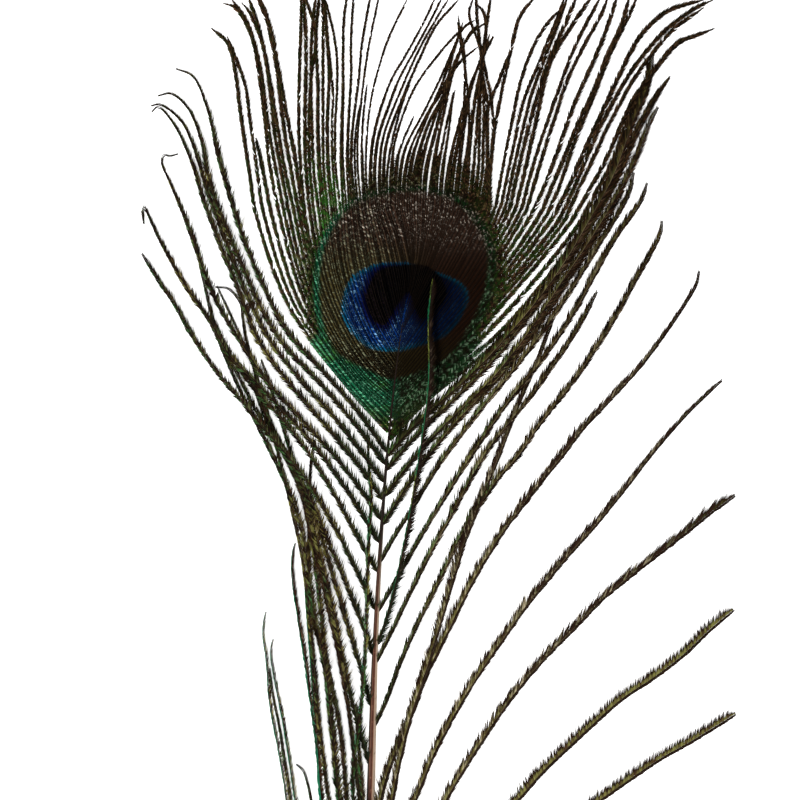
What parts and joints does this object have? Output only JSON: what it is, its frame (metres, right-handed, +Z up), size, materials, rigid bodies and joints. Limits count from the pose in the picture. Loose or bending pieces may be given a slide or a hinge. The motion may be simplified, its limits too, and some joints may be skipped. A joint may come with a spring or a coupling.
{
  "type": "peacock feather",
  "caption": "Peacock train feather lying flat, face up: a tapered shaft with a bare quill, loose herl barbs down both sides, and an iridescent eye with a fan of free barb ends.",
  "frame": {"origin": "on the flat underside of the shaft, 17 mm below the lower point of the eye's web", "axes": "+Y along the shaft from the quill's point to the eye, +X to the right seen from above, +Z up from the surface that the feather lies on, out of its face"},
  "size_m": [0.149, 0.309, 0.0055],
  "materials": {
    "barbs": "dark bronze-brown keratin barbs with an olive and gold iridescent sheen",
    "eye": "iridescent keratin: bronze disc, royal blue crescent, near-black violet heart, emerald rim",
    "shaft": "smooth pale horn with a reddish brown stripe"
  },
  "bodies": {
    "root": {"feather": "barbs"}
  },
  "joints": []
}
